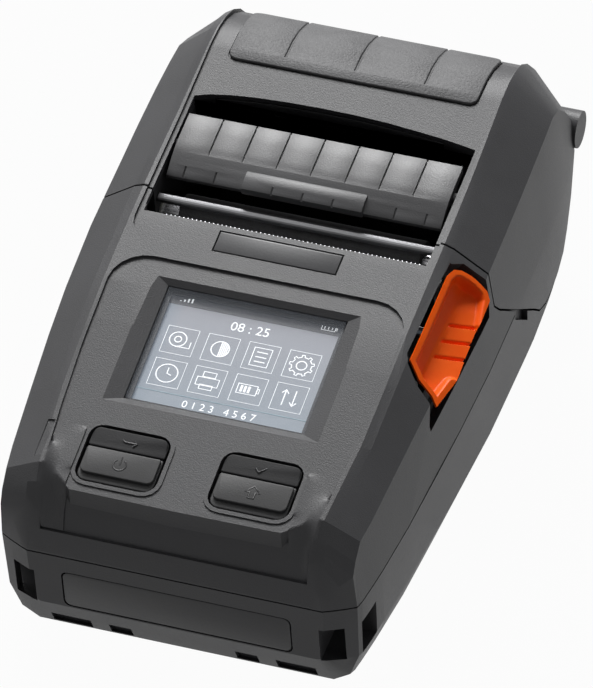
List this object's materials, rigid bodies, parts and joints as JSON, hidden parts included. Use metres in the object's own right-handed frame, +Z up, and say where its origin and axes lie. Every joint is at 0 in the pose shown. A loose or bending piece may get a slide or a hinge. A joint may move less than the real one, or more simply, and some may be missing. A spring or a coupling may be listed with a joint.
{
  "type": "portable label printer",
  "caption": "Portable label printer: display and keys on a sloping panel, hinged media cover with platen, release lever, battery pack and media guides.",
  "frame": {"origin": "middle of the footprint, on the surface that the printer stands on", "axes": "+X to the printer's right seen from the keys, +Y from the keys to the media cover's hinge, +Z up"},
  "size_m": [0.0972, 0.1624, 0.0651],
  "materials": {
    "case_plastic": "charcoal, fine spark texture",
    "orange_plastic": "bright orange, satin",
    "black_plastic": "black, satin",
    "grey_plastic": "dark grey, satin",
    "key_plastic": "charcoal, matt",
    "acetal": "natural white, satin",
    "rubber": "black, matt",
    "steel": "plain steel",
    "aluminium": "milled",
    "brass": "turned",
    "motor_can": "black can",
    "circuit_board": "green solder mask",
    "clear_lens": "clear window, polished",
    "display": "lit screen in a dark frame",
    "light_pipe": "translucent, unlit",
    "badge": "plain black plate"
  },
  "bodies": {
    "case": {"lower_case": "case_plastic", "upper_case": "case_plastic", "print_chassis": "grey_plastic", "drive_motor": "motor_can", "tear_bar": "steel", "main_board": "circuit_board", "processor": "black_plastic", "radio_module": "steel", "buzzer": "black_plastic", "port_board": "circuit_board", "usb_socket": "steel", "power_jack": "black_plastic", "battery_contacts": "brass", "key_mat": "rubber", "key_board": "circuit_board", "display_lens": "clear_lens", "display_module": "display", "status_light": "light_pipe", "badge_plate": "badge", "lever_pin": "steel", "hinge_pin": "steel", "case_screw_1": "steel", "case_screw_2": "steel", "case_screw_3": "steel", "case_screw_4": "steel"},
    "cover": {"media_cover": "case_plastic", "cover_pad": "rubber", "peel_bar": "steel", "platen_bush_left": "brass", "platen_bush_right": "brass"},
    "platen": {"platen_shaft": "steel", "platen_roller": "rubber", "platen_gear": "acetal"},
    "flap": {"bay_flap": "black_plastic"},
    "idler": {"idler_gear": "acetal"},
    "pinion": {"motor_pinion": "brass"},
    "head": {"print_head": "aluminium"},
    "lever": {"release_lever": "orange_plastic"},
    "latch": {"latch_shaft": "black_plastic"},
    "guide_right": {"media_guide_right": "grey_plastic"},
    "guide_left": {"media_guide_left": "grey_plastic"},
    "guide_gear": {"guide_pinion": "acetal"},
    "battery": {"battery_pack": "black_plastic"},
    "battery_catch": {"battery_latch": "grey_plastic"},
    "port_flap": {"port_cover": "rubber"},
    "upper_left_key": {"key_upper_left": "key_plastic"},
    "lower_left_key": {"key_lower_left": "key_plastic"},
    "upper_right_key": {"key_upper_right": "key_plastic"},
    "lower_right_key": {"key_lower_right": "key_plastic"}
  },
  "joints": [
    {"name": "cover_hinge", "type": "hinge", "parent": "case", "child": "cover", "pos_m": [0, 0.0767, 0.036], "axis": [-1, 0, 0], "range_deg": [0, 90]},
    {"name": "platen_spin", "type": "hinge", "parent": "cover", "child": "platen", "pos_m": [0, 0.0134, 0.049], "axis": [1, 0, 0], "continuous": true},
    {"name": "idler_spin", "type": "hinge", "parent": "case", "child": "idler", "pos_m": [-0.038, 0.00388, 0.03942], "axis": [1, 0, 0], "continuous": true},
    {"name": "pinion_spin", "type": "hinge", "parent": "case", "child": "pinion", "pos_m": [-0.038, -0.00352, 0.03197], "axis": [1, 0, 0], "continuous": true},
    {"name": "flap_pivot", "type": "hinge", "parent": "cover", "child": "flap", "pos_m": [0, 0.0247, 0.0602], "axis": [-1, 0, 0], "range_deg": [0, 25]},
    {"name": "head_pivot", "type": "hinge", "parent": "case", "child": "head", "pos_m": [0, 0.00553, 0.042], "axis": [1, 0, 0], "range_deg": [0, 2], "stiffness_Nm_per_rad": 2, "springref_deg": -1.15},
    {"name": "lever_pivot", "type": "hinge", "parent": "case", "child": "lever", "pos_m": [0.04, 0.00171, 0.051], "axis": [1, 0, 0], "range_deg": [0, 3.5], "stiffness_Nm_per_rad": 1, "springref_deg": -1.72},
    {"name": "latch_pivot", "type": "hinge", "parent": "case", "child": "latch", "pos_m": [0, 0.01, 0.03], "axis": [1, 0, 0], "range_deg": [0, 3.6]},
    {"name": "guide_right_slide", "type": "slide", "parent": "case", "child": "guide_right", "axis": [-1, 0, 0], "range_m": [0, 0.014]},
    {"name": "guide_left_slide", "type": "slide", "parent": "case", "child": "guide_left", "axis": [1, 0, 0], "range_m": [0, 0.0141]},
    {"name": "guide_pinion_spin", "type": "hinge", "parent": "case", "child": "guide_gear", "pos_m": [0, 0.04125, 0.006], "axis": [0, 0, -1], "range_deg": [0, 161]},
    {"name": "battery_slide", "type": "slide", "parent": "case", "child": "battery", "axis": [0, 0, -1], "range_m": [0, 0.03]},
    {"name": "battery_catch_slide", "type": "slide", "parent": "case", "child": "battery_catch", "axis": [0, -1, 0], "range_m": [0, 0.0015], "stiffness_N_per_m": 600, "springref_m": -0.002},
    {"name": "port_flap_hinge", "type": "hinge", "parent": "case", "child": "port_flap", "pos_m": [0, -0.0812, 0.0166], "axis": [1, 0, 0], "range_deg": [0, 110]},
    {"name": "upper_left_key_press", "type": "slide", "parent": "case", "child": "upper_left_key", "axis": [0, 0.1478, -0.989], "range_m": [0, 0.0008], "stiffness_N_per_m": 900, "springref_m": -0.0006},
    {"name": "lower_left_key_press", "type": "slide", "parent": "case", "child": "lower_left_key", "axis": [0, 0.1478, -0.989], "range_m": [0, 0.0008], "stiffness_N_per_m": 900, "springref_m": -0.0006},
    {"name": "upper_right_key_press", "type": "slide", "parent": "case", "child": "upper_right_key", "axis": [0, 0.1478, -0.989], "range_m": [0, 0.0008], "stiffness_N_per_m": 900, "springref_m": -0.0006},
    {"name": "lower_right_key_press", "type": "slide", "parent": "case", "child": "lower_right_key", "axis": [0, 0.1478, -0.989], "range_m": [0, 0.0008], "stiffness_N_per_m": 900, "springref_m": -0.0006}
  ],
  "couplings": [
    {"joint": "idler_spin", "follows": "platen_spin", "ratio": -0.8},
    {"joint": "pinion_spin", "follows": "platen_spin", "ratio": 2},
    {"joint": "latch_pivot", "follows": "lever_pivot", "ratio": 1},
    {"joint": "guide_left_slide", "follows": "guide_right_slide", "ratio": 1},
    {"joint": "guide_pinion_spin", "follows": "guide_right_slide", "rad_per_m": 200}
  ]
}
